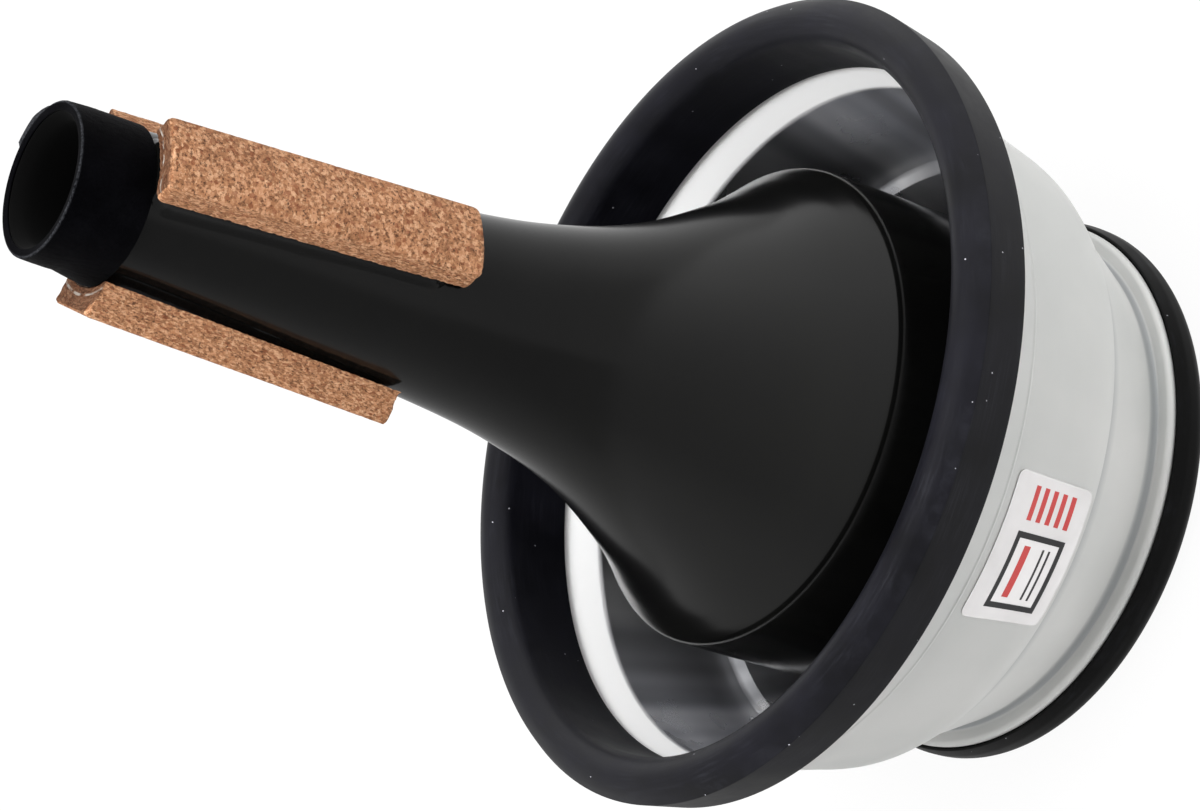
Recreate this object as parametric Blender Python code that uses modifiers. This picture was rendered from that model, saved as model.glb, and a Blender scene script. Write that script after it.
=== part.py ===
"""Trumpet cup mute: a hollow horn with cork strips, and a metal cup that slides on its skirt.

The mute stands on the rear edge of its skirt, throat up, with its axis on Z and the base at Z = 0.
The cup grips the skirt with a rubber ring. It slides along Z and turns about Z.
All sizes are in metres.
"""
import math

import bmesh
import bpy
from mathutils import Matrix, Vector

MM = 0.001

# Horn: a moulded plastic shell, open at the throat and at the rear.
# Heights build up from the skirt's rear edge; each drop is the height of one stretch.
HORN_WALL = 1.6 * MM
SKIRT_R = 39.6 * MM
SKIRT_LENGTH = 50.4 * MM
SHOULDER_TAPER = 0.15 * MM
SHOULDER_HEIGHT = 8.6 * MM
SHOULDER_ROUND = 1.4 * MM
SHOULDER_ROUND_HEIGHT = 2.4 * MM
FLARE_LOW_R = 33.0 * MM
FLARE_LOW_DROP = 6.0 * MM
FLARE_MID_R = 27.95 * MM
FLARE_MID_DROP = 8.0 * MM
FLARE_BEND_R = 23.7 * MM
FLARE_BEND_DROP = 8.0 * MM
FLARE_HIGH_R = 20.9 * MM
FLARE_HIGH_DROP = 7.0 * MM
FLARE_TOP_R = 17.45 * MM
FLARE_TOP_DROP = 13.0 * MM
WAIST_R = 15.2 * MM
WAIST_DROP = 15.8 * MM
TUBE_MID_R = 13.95 * MM
TUBE_LOW_LENGTH = 18.2 * MM
TUBE_R = 11.35 * MM
TUBE_HIGH_LENGTH = 37.7 * MM
MOUTH_R = 11.0 * MM
MOUTH_LENGTH = 11.7 * MM
MOUTH_WALL = 0.7 * MM

# Base plate: pressed into the skirt against a small ledge
PLATE_THICK = 1.6 * MM
PLATE_RECESS = 2.4 * MM
LEDGE_HEIGHT = 1.6 * MM
LEDGE_DEPTH = 1.4 * MM

# Cork strips: cut and glued by hand, so each has its own place, width and distance from the mouth
CORK_AZIMUTHS_DEG = (36.0, 153.5, 272.5)
CORK_WIDTHS = (12.4 * MM, 12.8 * MM, 12.8 * MM)
CORK_SETBACKS = (11.2 * MM, 11.0 * MM, 10.4 * MM)
CORK_REACH = 64.2 * MM
CORK_THICK = 3.6 * MM
CORK_CORNER = 2.2 * MM

# Seats: low pads moulded on the horn under the cork strips
SEAT_WIDTH = 12.2 * MM
SEAT_RISE_HIGH = 1.9 * MM
SEAT_RISE_LOW = 1.0 * MM
SEAT_OVERRUN = 0.8 * MM
SEAT_CORNER = 1.6 * MM

# Felt band around the mouth, with a short lap where the strip's ends meet
BAND_WIDTH = 12.3 * MM
BAND_THICK = 1.0 * MM
BAND_ROUND = 0.6 * MM
BAND_OVER_MOUTH = 0.6 * MM
BAND_LAP_START_DEG = 111.0
BAND_LAP_DEG = 50.0
BAND_LAP_THICK = 0.7 * MM

# Spun metal cup: bowl, neck and turned-out rear flange
CUP_WALL = 0.8 * MM
FLANGE_WIDTH = 3.0 * MM
FLANGE_FILLET_HEIGHT = 2.6 * MM
NECK_SPREAD = 8.0 * MM
NECK_HEIGHT = 15.5 * MM
CREASE_STEP = 1.6 * MM
CREASE_HEIGHT = 1.1 * MM
BOWL_LOW_SPREAD = 2.0 * MM
BOWL_LOW_HEIGHT = 4.3 * MM
BOWL_HIGH_SPREAD = 4.0 * MM
BOWL_HIGH_HEIGHT = 17.4 * MM
LIP_SPREAD = 2.2 * MM
LIP_HEIGHT = 5.6 * MM
RIM_SPREAD = 1.5 * MM
RIM_HEIGHT = 8.6 * MM

# Rubber ring on the cup's rim
BELL_RING_THICK = 5.0 * MM
BELL_RING_HEIGHT = 11.1 * MM
BELL_RING_FRONT = 5.0 * MM
BELL_RING_ROUND = 3.7 * MM
BELL_CREST_IN = 3.9 * MM
BELL_RING_TAPER = 1.15 * MM
BELL_BORE_THICK = 1.3 * MM
BELL_BORE_DROP = 2.3 * MM
BELL_LIP_THICK = 0.5 * MM

# Rubber ring that grips the skirt
GRIP_RING_Z = 1.1 * MM
GRIP_BODY_HEIGHT = 5.1 * MM
GRIP_RIM_THICK = 0.65 * MM
GRIP_RIM_DROP = 3.4 * MM
GRIP_REAR_IN = 2.1 * MM
GRIP_SLEEVE_THICK = 0.9 * MM
GRIP_SLEEVE_HEIGHT = 4.2 * MM
GRIP_CHAMFER = 0.7 * MM

# Label on the bowl
LABEL_DROP = 2.0 * MM
LABEL_HEIGHT = 18.2 * MM
LABEL_WIDTH = 23.6 * MM
LABEL_THICK = 0.25 * MM
LABEL_AZIMUTH_DEG = -9.3
LABEL_CORNER = 1.0 * MM

# Clearances and mesh fineness
GAP = 0.3 * MM
TURN_STEPS = 48
CURVE_POINTS = 3
MERGE = 0.00001

# Heights and radii that follow from the sizes above
SHOULDER_Z = SKIRT_LENGTH + SHOULDER_HEIGHT
SHOULDER_R = SKIRT_R - SHOULDER_TAPER
EDGE_Z = SHOULDER_Z + SHOULDER_ROUND_HEIGHT
EDGE_R = SHOULDER_R - SHOULDER_ROUND
FLARE_LOW_Z = EDGE_Z + FLARE_LOW_DROP
FLARE_MID_Z = FLARE_LOW_Z + FLARE_MID_DROP
FLARE_BEND_Z = FLARE_MID_Z + FLARE_BEND_DROP
FLARE_HIGH_Z = FLARE_BEND_Z + FLARE_HIGH_DROP
FLARE_TOP_Z = FLARE_HIGH_Z + FLARE_TOP_DROP
WAIST_Z = FLARE_TOP_Z + WAIST_DROP
TUBE_MID_Z = WAIST_Z + TUBE_LOW_LENGTH
TUBE_Z = TUBE_MID_Z + TUBE_HIGH_LENGTH
MOUTH_Z = TUBE_Z + MOUTH_LENGTH
BAND_TOP_Z = MOUTH_Z + BAND_OVER_MOUTH
BAND_LOW_Z = BAND_TOP_Z - BAND_WIDTH
CORK_LOW_Z = MOUTH_Z - CORK_REACH
SEAT_HIGH_Z = BAND_LOW_Z - GAP
SEAT_LOW_Z = CORK_LOW_Z - SEAT_OVERRUN

GRIP_BORE_R = SKIRT_R + GAP
SLEEVE_R = GRIP_BORE_R + GRIP_SLEEVE_THICK
GROOVE_Z = GRIP_RING_Z + GRIP_BODY_HEIGHT
NECK_R = SLEEVE_R + GAP + CUP_WALL
FLANGE_R = NECK_R + FLANGE_WIDTH
FLANGE_Z = GROOVE_Z + GAP + CUP_WALL
NECK_Z = FLANGE_Z + FLANGE_FILLET_HEIGHT
NECK_TOP_R = NECK_R + NECK_SPREAD
NECK_TOP_Z = NECK_Z + NECK_HEIGHT
CREASE_R = NECK_TOP_R + CREASE_STEP
CREASE_Z = NECK_TOP_Z + CREASE_HEIGHT
BOWL_R = CREASE_R + BOWL_LOW_SPREAD
BOWL_Z = CREASE_Z + BOWL_LOW_HEIGHT
BEAD_R = BOWL_R + BOWL_HIGH_SPREAD
BEAD_Z = BOWL_Z + BOWL_HIGH_HEIGHT
LIP_R = BEAD_R + LIP_SPREAD
LIP_Z = BEAD_Z + LIP_HEIGHT
RIM_R = LIP_R + RIM_SPREAD
RIM_Z = LIP_Z + RIM_HEIGHT


def clear_scene():
    for item in list(bpy.data.objects):
        bpy.data.objects.remove(item, do_unlink=True)


def new_collection(name):
    group = bpy.data.collections.new(name)
    bpy.context.scene.collection.children.link(group)
    return group


def material(name, colour, roughness, metallic):
    made = bpy.data.materials.new(name)
    made.use_nodes = True
    shader = made.node_tree.nodes["Principled BSDF"]
    shader.inputs["Base Color"].default_value = (*colour, 1.0)
    shader.inputs["Roughness"].default_value = roughness
    shader.inputs["Metallic"].default_value = metallic
    return made


def add_object(name, mesh, group, finish=None):
    item = bpy.data.objects.new(name, mesh)
    group.objects.link(item)
    if finish is not None:
        mesh.materials.append(finish)
    return item


def hide_tool(item):
    item.hide_render = True
    item.display_type = "WIRE"


def profile_mesh(name, points, closed):
    """A chain of (radius, height) points in the XZ plane."""
    form = bmesh.new()
    verts = [form.verts.new((radius, 0.0, height)) for radius, height in points]
    for first, second in zip(verts, verts[1:]):
        form.edges.new((first, second))
    if closed:
        form.edges.new((verts[-1], verts[0]))
    mesh = bpy.data.meshes.new(name)
    form.to_mesh(mesh)
    form.free()
    return mesh


def turned(name, points, group, finish=None, closed=True, wall=None):
    """Turn a profile about Z; its outer side runs from top to bottom."""
    item = add_object(name, profile_mesh(name, points, closed), group, finish)
    screw = item.modifiers.new("Turn", "SCREW")
    screw.axis = "Z"
    screw.angle = math.tau
    screw.steps = TURN_STEPS
    screw.render_steps = TURN_STEPS
    screw.use_merge_vertices = True
    screw.merge_threshold = MERGE
    screw.use_smooth_shade = True
    if wall is not None:
        shell = item.modifiers.new("Wall", "SOLIDIFY")
        shell.thickness = wall
        shell.offset = -1.0
        shell.use_even_offset = True
    return item


def smooth_chain(stations, count):
    """A smooth curve through (radius, height) stations, with count points on each span."""
    steps = []
    for (r_a, z_a), (r_b, z_b) in zip(stations, stations[1:]):
        steps.append((z_b - z_a, (r_b - r_a) / (z_b - z_a)))
    slopes = [steps[0][1]]
    for (span_a, slope_a), (span_b, slope_b) in zip(steps, steps[1:]):
        slopes.append((span_b * slope_a + span_a * slope_b) / (span_a + span_b))
    slopes.append(steps[-1][1])
    points = []
    for index, (span, _) in enumerate(steps):
        r_a, z_a = stations[index]
        r_b = stations[index + 1][0]
        for step in range(count):
            t = step / count
            blend = t * t * (3.0 - 2.0 * t)
            bend_a = t * (1.0 - t) ** 2 * span * slopes[index]
            bend_b = -(t * t) * (1.0 - t) * span * slopes[index + 1]
            points.append((r_a + (r_b - r_a) * blend + bend_a + bend_b, z_a + span * t))
    points.append(stations[-1])
    return points


def inset_chain(points, distance):
    """The chain moved inwards by a distance, square to its own direction."""
    moved = []
    last = len(points) - 1
    for index, (radius, height) in enumerate(points):
        before = points[max(index - 1, 0)]
        after = points[min(index + 1, last)]
        run = Vector((after[0] - before[0], after[1] - before[1])).normalized()
        moved.append((radius + run.y * distance, height - run.x * distance))
    return moved


def radius_at(points, height):
    """The radius of a chain that runs down, at a height."""
    for (r_a, z_a), (r_b, z_b) in zip(points, points[1:]):
        if z_b <= height <= z_a:
            return r_a + (r_b - r_a) * (z_a - height) / (z_a - z_b)
    return points[0][0] if height > points[0][1] else points[-1][0]


def rounded_bar(name, width, low, high, reach, corner, azimuth_deg, group):
    """A bar that points outwards at an azimuth, with its four long edges rounded."""
    form = bmesh.new()
    bmesh.ops.create_cube(form, size=1.0)
    size = Matrix.Diagonal((reach, width, high - low, 1.0))
    place = Matrix.Translation((reach / 2.0, 0.0, (high + low) / 2.0))
    bmesh.ops.transform(form, matrix=place @ size, verts=form.verts)
    if corner > 0.0:
        long_edges = []
        for edge in form.edges:
            run = edge.verts[0].co - edge.verts[1].co
            if abs(run.x) > max(abs(run.y), abs(run.z)):
                long_edges.append(edge)
        bmesh.ops.bevel(form, geom=long_edges, offset=corner, segments=3, profile=0.5, affect="EDGES",
                        material=-1)
    mesh = bpy.data.meshes.new(name)
    form.to_mesh(mesh)
    form.free()
    item = add_object(name, mesh, group)
    item.rotation_euler = (0.0, 0.0, math.radians(azimuth_deg))
    hide_tool(item)
    return item


def boolean(item, other, operation, label):
    cut = item.modifiers.new(label, "BOOLEAN")
    cut.object = other
    cut.operation = operation
    cut.solver = "EXACT"


def horn_outside():
    curve = smooth_chain([
        (TUBE_R, TUBE_Z),
        (TUBE_MID_R, TUBE_MID_Z),
        (WAIST_R, WAIST_Z),
        (FLARE_TOP_R, FLARE_TOP_Z),
        (FLARE_HIGH_R, FLARE_HIGH_Z),
        (FLARE_BEND_R, FLARE_BEND_Z),
        (FLARE_MID_R, FLARE_MID_Z),
        (FLARE_LOW_R, FLARE_LOW_Z),
        (EDGE_R, EDGE_Z),
    ], CURVE_POINTS)
    skirt = [(SHOULDER_R, SHOULDER_Z), (SKIRT_R, SKIRT_LENGTH), (SKIRT_R, 0.0)]
    return [(MOUTH_R, MOUTH_Z)] + curve + skirt


def horn_profile():
    outside = horn_outside()
    inside = inset_chain(outside[:-1], HORN_WALL)
    inside[0] = (MOUTH_R - MOUTH_WALL, MOUTH_Z)
    inner_r = SKIRT_R - HORN_WALL
    inside[-1] = (inner_r, inside[-1][1])
    ledge_low = PLATE_RECESS + PLATE_THICK + GAP
    ledge_high = ledge_low + LEDGE_HEIGHT
    ledge = [
        (inner_r, 0.0),
        (inner_r, ledge_low),
        (inner_r - LEDGE_DEPTH, ledge_low),
        (inner_r - LEDGE_DEPTH, ledge_high),
        (inner_r, ledge_high + LEDGE_DEPTH),
    ]
    return outside + ledge + list(reversed(inside))


def seat_radius(height):
    """Radius of the seats' top: a straight taper between the two ends of a seat."""
    outside = horn_outside()
    r_high = radius_at(outside, SEAT_HIGH_Z) + SEAT_RISE_HIGH
    r_low = radius_at(outside, SEAT_LOW_Z) + SEAT_RISE_LOW
    share = (height - SEAT_LOW_Z) / (SEAT_HIGH_Z - SEAT_LOW_Z)
    return r_low + (r_high - r_low) * share


def build_horn(group, tools, finish):
    horn = turned("mute_horn", horn_profile(), group, finish)
    outside = horn_outside()
    pad_profile = [
        (seat_radius(SEAT_HIGH_Z), SEAT_HIGH_Z),
        (seat_radius(SEAT_LOW_Z), SEAT_LOW_Z),
        (radius_at(outside, SEAT_LOW_Z) - HORN_WALL / 2.0, SEAT_LOW_Z),
        (radius_at(outside, SEAT_HIGH_Z) - HORN_WALL / 2.0, SEAT_HIGH_Z),
    ]
    reach = 2.0 * seat_radius(SEAT_LOW_Z)
    for number, azimuth in enumerate(CORK_AZIMUTHS_DEG, 1):
        pad = turned("seat_%d" % number, pad_profile, tools)
        hide_tool(pad)
        bar = rounded_bar("seat_bar_%d" % number, SEAT_WIDTH, SEAT_LOW_Z, SEAT_HIGH_Z, reach, SEAT_CORNER,
                          azimuth, tools)
        boolean(pad, bar, "INTERSECT", "Seat width")
        boolean(horn, pad, "UNION", "Seat %d" % number)
    return horn


def build_base_plate(group, finish):
    edge_r = SKIRT_R - HORN_WALL - GAP
    form = bmesh.new()
    bmesh.ops.create_cone(form, cap_ends=True, segments=TURN_STEPS, radius1=edge_r, radius2=edge_r,
                          depth=PLATE_THICK)
    bmesh.ops.translate(form, vec=(0.0, 0.0, PLATE_RECESS + PLATE_THICK / 2.0), verts=form.verts)
    mesh = bpy.data.meshes.new("base_plate")
    form.to_mesh(mesh)
    form.free()
    return add_object("base_plate", mesh, group, finish)


def build_corks(group, tools, finish):
    inner_low = seat_radius(CORK_LOW_Z) + GAP
    strips = zip(CORK_AZIMUTHS_DEG, CORK_WIDTHS, CORK_SETBACKS)
    for number, (azimuth, width, setback) in enumerate(strips, 1):
        high_z = MOUTH_Z - setback
        inner_high = seat_radius(high_z) + GAP
        cork = turned("cork_strip_%d" % number, [
            (inner_high + CORK_THICK, high_z),
            (inner_low + CORK_THICK, CORK_LOW_Z),
            (inner_low, CORK_LOW_Z),
            (inner_high, high_z),
        ], group, finish)
        bar = rounded_bar("cork_bar_%d" % number, width, CORK_LOW_Z, high_z, 2.0 * (inner_low + CORK_THICK),
                          CORK_CORNER, azimuth, tools)
        boolean(cork, bar, "INTERSECT", "Strip width")


def build_band(group, tools, finish):
    inner_high = MOUTH_R + GAP
    inner_low = radius_at(horn_outside(), BAND_LOW_Z) + GAP
    outer_high = inner_high + BAND_THICK
    outer_low = inner_low + BAND_THICK
    band = turned("throat_band", [
        (outer_high - BAND_ROUND, BAND_TOP_Z),
        (outer_high, BAND_TOP_Z - BAND_ROUND),
        (outer_low, BAND_LOW_Z),
        (inner_low, BAND_LOW_Z),
        (inner_high, BAND_TOP_Z),
    ], group, finish)
    lap = turned("band_lap", [
        (outer_high + BAND_LAP_THICK, BAND_TOP_Z - BAND_ROUND),
        (outer_low + BAND_LAP_THICK, BAND_LOW_Z),
        (inner_low + BAND_THICK / 2.0, BAND_LOW_Z),
        (inner_high + BAND_THICK / 2.0, BAND_TOP_Z - BAND_ROUND),
    ], tools)
    hide_tool(lap)
    lap_r = outer_low + BAND_LAP_THICK
    chord = 2.0 * lap_r * math.sin(math.radians(BAND_LAP_DEG / 2.0))
    bar = rounded_bar("lap_bar", chord, BAND_LOW_Z - GAP, BAND_TOP_Z + GAP, 2.0 * lap_r, 0.0,
                      BAND_LAP_START_DEG + BAND_LAP_DEG / 2.0, tools)
    boolean(lap, bar, "INTERSECT", "Lap length")
    boolean(band, lap, "UNION", "Lap")
    return band


def cup_outside():
    bowl = smooth_chain([
        (RIM_R, RIM_Z),
        (LIP_R, LIP_Z),
        (BEAD_R, BEAD_Z),
        (BOWL_R, BOWL_Z),
        (CREASE_R, CREASE_Z),
    ], CURVE_POINTS)
    fillet = []
    for step in range(CURVE_POINTS + 1):
        turn = math.radians(90.0) * step / CURVE_POINTS
        radius = FLANGE_R - FLANGE_WIDTH * math.cos(turn)
        fillet.append((radius, NECK_Z - FLANGE_FILLET_HEIGHT * math.sin(turn)))
    return bowl + [(NECK_TOP_R, NECK_TOP_Z)] + fillet


def build_cup(group, finish):
    return turned("cup_shell", cup_outside(), group, finish, closed=False, wall=CUP_WALL)


def build_bell_ring(group, finish):
    cup = cup_outside()
    ring_r = RIM_R + GAP + BELL_RING_THICK
    front_z = RIM_Z + GAP + BELL_RING_FRONT
    corner_z = front_z - BELL_RING_ROUND
    rear_z = front_z - BELL_RING_HEIGHT
    crest_r = ring_r - BELL_CREST_IN
    slot_r = RIM_R - CUP_WALL - GAP
    lip_r = LIP_R - CUP_WALL - GAP
    bore_r = slot_r - BELL_BORE_THICK
    profile = [
        (crest_r, front_z),
        (ring_r - BELL_CREST_IN / 4.0, front_z - BELL_RING_ROUND / 3.0),
        (ring_r, corner_z),
        (ring_r - BELL_RING_TAPER, rear_z),
        (radius_at(cup, rear_z) + GAP, rear_z),
        (RIM_R + GAP, RIM_Z + GAP),
        (slot_r, RIM_Z + GAP),
        (lip_r, LIP_Z),
        (lip_r - BELL_LIP_THICK, LIP_Z),
        (bore_r, front_z - BELL_BORE_DROP),
        ((crest_r + bore_r) / 2.0, front_z - BELL_BORE_DROP / 4.0),
    ]
    return turned("bell_ring", profile, group, finish)


def build_grip_ring(group, finish):
    floor_r = FLANGE_R + GAP
    ring_r = floor_r + GRIP_RIM_THICK
    profile = [
        (GRIP_BORE_R, GROOVE_Z + GRIP_SLEEVE_HEIGHT),
        (SLEEVE_R, GROOVE_Z + GRIP_SLEEVE_HEIGHT),
        (SLEEVE_R, GROOVE_Z),
        (floor_r, GROOVE_Z),
        (floor_r, FLANGE_Z),
        (floor_r + GRIP_RIM_THICK / 2.0, FLANGE_Z + GAP),
        (ring_r, FLANGE_Z - GRIP_RIM_DROP),
        (ring_r - GRIP_REAR_IN / 4.0, (FLANGE_Z - GRIP_RIM_DROP + GRIP_RING_Z) / 2.0),
        (ring_r - GRIP_REAR_IN, GRIP_RING_Z),
        (GRIP_BORE_R + GRIP_CHAMFER, GRIP_RING_Z),
        (GRIP_BORE_R, GRIP_RING_Z + GRIP_CHAMFER),
    ]
    return turned("grip_ring", profile, group, finish)


def build_label(group, tools, finish):
    cup = cup_outside()
    high = BEAD_Z - LABEL_DROP
    low = high - LABEL_HEIGHT
    heights = [high] + [height for _, height in cup if low < height < high] + [low]
    under = [(radius_at(cup, height) + GAP, height) for height in heights]
    over = [(radius + LABEL_THICK, height) for radius, height in under]
    label = turned("cup_label", over + list(reversed(under)), group, finish)
    bar = rounded_bar("label_bar", LABEL_WIDTH, low, high, 2.0 * RIM_R, LABEL_CORNER, LABEL_AZIMUTH_DEG,
                      tools)
    boolean(label, bar, "INTERSECT", "Label outline")
    return label


def build():
    clear_scene()
    group = new_collection("trumpet_cup_mute")
    tools = new_collection("cutters")
    plastic = material("black_plastic", (0.012, 0.012, 0.013), 0.32, 0.0)
    cork = material("cork", (0.53, 0.27, 0.12), 0.85, 0.0)
    felt = material("black_felt", (0.004, 0.004, 0.005), 0.95, 0.0)
    metal = material("satin_aluminium", (0.62, 0.63, 0.62), 0.34, 1.0)
    rubber = material("black_rubber", (0.02, 0.02, 0.024), 0.6, 0.0)
    sticker = material("white_label", (0.8, 0.8, 0.8), 0.35, 0.0)
    build_horn(group, tools, plastic)
    build_base_plate(group, plastic)
    build_corks(group, tools, cork)
    build_band(group, tools, felt)
    grip = build_grip_ring(group, rubber)
    turning = [build_cup(group, metal), build_bell_ring(group, rubber), build_label(group, tools, sticker)]
    slide_axis = bpy.data.objects.new("cup_slide_axis", None)
    turn_axis = bpy.data.objects.new("cup_turn_axis", None)
    group.objects.link(slide_axis)
    group.objects.link(turn_axis)
    turn_axis.parent = slide_axis
    grip.parent = slide_axis
    for item in turning:
        item.parent = turn_axis


build()
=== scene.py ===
# %% [markdown]
# # A trumpet cup mute
#
# A cup mute is a hollow plastic horn that stands in the bell of a trumpet on three strips of cork.
# A spun metal cup rides on the horn's skirt and faces the bell. Nearly every piece of it is turned
# about one axis, so this lesson is mostly about good profiles, and then about six finishes that
# differ a lot: glossy plastic, pressed cork, felt, rubber, spun aluminium and printed vinyl.
#
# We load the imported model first. Each piece below replaces one of its plain solids.

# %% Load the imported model
import math

import bmesh
import bpy
from mathutils import Matrix, Vector, noise


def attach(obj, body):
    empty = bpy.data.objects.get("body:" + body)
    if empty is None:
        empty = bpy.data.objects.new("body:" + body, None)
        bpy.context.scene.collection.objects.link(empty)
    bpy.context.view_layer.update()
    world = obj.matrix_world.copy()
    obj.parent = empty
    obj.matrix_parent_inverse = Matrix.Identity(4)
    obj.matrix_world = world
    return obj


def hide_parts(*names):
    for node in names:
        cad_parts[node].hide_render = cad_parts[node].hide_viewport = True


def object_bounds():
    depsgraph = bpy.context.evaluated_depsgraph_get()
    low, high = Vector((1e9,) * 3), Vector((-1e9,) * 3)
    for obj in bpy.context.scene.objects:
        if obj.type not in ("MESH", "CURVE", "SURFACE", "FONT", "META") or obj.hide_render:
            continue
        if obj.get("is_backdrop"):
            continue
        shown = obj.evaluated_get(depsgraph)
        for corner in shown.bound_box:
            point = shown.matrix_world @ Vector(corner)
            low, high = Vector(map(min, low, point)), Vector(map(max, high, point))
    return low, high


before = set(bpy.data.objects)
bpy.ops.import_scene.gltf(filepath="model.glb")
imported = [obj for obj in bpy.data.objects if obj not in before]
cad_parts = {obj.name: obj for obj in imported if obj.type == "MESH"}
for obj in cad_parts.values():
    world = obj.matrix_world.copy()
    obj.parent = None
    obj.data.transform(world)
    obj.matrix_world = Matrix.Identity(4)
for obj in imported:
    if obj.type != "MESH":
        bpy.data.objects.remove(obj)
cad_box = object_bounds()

# %% [markdown]
# ## Measures
#
# The mute stands on the rear edge of its skirt with the throat up. A maker would measure it from
# the throat, so profiles here are pairs of a radius and a depth behind the felt's front edge, in
# millimetres. One function turns a depth into a height.

# %% Units and heights
MM = 0.001
TOP = cad_box[1][2]
skirt_end = TOP / MM


def height(depth):
    return TOP - depth * MM


print("mute is %.1f mm long and %.1f mm across" % (TOP / MM, (cad_box[1][0] - cad_box[0][0]) / MM))

# %% [markdown]
# ## The camera
#
# The photograph looks down on the throat from the side, with a long lens. Three axes say how the
# camera is turned: its right, its up and its view direction. They go into one matrix.

# %% Camera
PICTURE_WIDTH_PX = 1200
FOCAL_PX = 4244.0
SENSOR_MM = 36.0

right = Vector((0.50031, 0.29896, -0.81260)).normalized()
forward = Vector((-0.85154, 0.0, -0.52429)).normalized()
up = right.cross(forward).normalized()
right = forward.cross(up).normalized()
eye = Vector((568.10, -7.12, 435.04)) * MM

lens = bpy.data.cameras.new("photo_camera")
lens.sensor_width = SENSOR_MM
lens.lens = FOCAL_PX / PICTURE_WIDTH_PX * SENSOR_MM
lens.clip_start = 0.01
camera = bpy.data.objects.new("photo_camera", lens)
turn = Matrix((right, up, -forward)).transposed().to_4x4()
camera.matrix_world = Matrix.Translation(eye) @ turn
bpy.context.scene.collection.objects.link(camera)
bpy.context.scene.camera = camera
print("lens %.0f mm" % lens.lens)

# %% [markdown]
# ## Colours and nodes
#
# Colours are written as the hex values that a picture editor shows. Blender works in linear light,
# so one function converts them. Another one gives a node its options, inputs and links, and `add`
# makes the node first. So each material reads as a list of what it does. The scale of a pattern is
# always worked out from a real size in millimetres.

# %% Colour and node helpers
WHITE = (1.0, 1.0, 1.0, 1.0)


def linear(hex_colour):
    values = []
    for start in (1, 3, 5):
        part = int(hex_colour[start:start + 2], 16) / 255.0
        values.append(part / 12.92 if part <= 0.04045 else ((part + 0.055) / 1.055) ** 2.4)
    return (*values, 1.0)


def fill(tree, node, **settings):
    """Give a node its options, its inputs and, for a ramp, its stops of (position, hex colour).

    An input is named with _ for a space, or numbered, as in2. It takes a value, an output, or a
    whole node, whose first output in use is then linked.
    """
    for key, value in settings.items():
        if key == "stops":
            points = node.color_ramp.elements
            while len(points) < len(value):
                points.new(0.5)
            for point, (position, hex_colour) in zip(points, value):
                point.position = position
                point.color = linear(hex_colour)
            continue
        if hasattr(node, key):
            setattr(node, key, value)
            continue
        by_number = key[:2] == "in" and key[2:].isdigit()
        socket = node.inputs[int(key[2:]) if by_number else key.replace("_", " ")]
        if isinstance(value, bpy.types.Node):
            value = next(output for output in value.outputs if output.enabled)
        if isinstance(value, bpy.types.NodeSocket):
            tree.links.new(value, socket)
        else:
            socket.default_value = value
    return node


def add(tree, kind, **settings):
    return fill(tree, tree.nodes.new("ShaderNode" + kind), **settings)


def per(size_mm):
    """The scale at which one blotch or cell of a pattern is about this wide."""
    return 1.0 / (size_mm * MM)


def new_finish(name):
    """A material with its node tree, its shader and the place on the piece."""
    made = bpy.data.materials.new(name)
    made.use_nodes = True
    tree = made.node_tree
    print("finish: %s" % name)
    return made, tree, tree.nodes["Principled BSDF"], add(tree, "TexCoord").outputs["Object"]


def off_axis(tree, place):
    """The place measured from the axis, with its height taken out."""
    return add(tree, "VectorMath", operation="MULTIPLY", in0=place, in1=(1.0, 1.0, 0.0))


# %% [markdown]
# ## Turning a piece
#
# A lathe needs only a profile. `rounded` takes the corners of a profile with the radius of each
# corner's rounding, because real moulded and spun edges are never sharp, and those small roundings
# are what catches the light. It never takes up half of a side. `dense` splits long stretches so
# that later steps have points to move. `turned` spins the profile with bmesh and merges the seam.

# %% Profile helpers
ARC_STEPS = 6
SPIN_STEPS = 192
SIDE_SHARE = 0.48
MERGE_MM = 0.001


def rounded(corners, closed=True):
    """Corners are (radius, depth, rounding) in mm; returns (radius, height) points in metres."""
    spots = [Vector((radius, -depth)) for radius, depth, _ in corners]
    count = len(spots)
    points = []
    for index, spot in enumerate(spots):
        rounding = corners[index][2]
        at_end = not closed and index in (0, count - 1)
        if rounding <= 0.0 or at_end:
            points.append(spot)
            continue
        back = spots[index - 1] - spot
        ahead = spots[(index + 1) % count] - spot
        half = back.angle(ahead) / 2.0
        reach = min(rounding / math.tan(half), SIDE_SHARE * back.length, SIDE_SHARE * ahead.length)
        bend = reach * math.tan(half)
        centre = spot + (back.normalized() + ahead.normalized()).normalized() * bend / math.sin(half)
        first = spot + back.normalized() * reach - centre
        last = spot + ahead.normalized() * reach - centre
        sweep = first.angle_signed(last)
        for step in range(ARC_STEPS + 1):
            angle = -sweep * step / ARC_STEPS
            points.append(centre + Matrix.Rotation(angle, 2) @ first)
    return [(point.x * MM, TOP + point.y * MM) for point in points]


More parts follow.
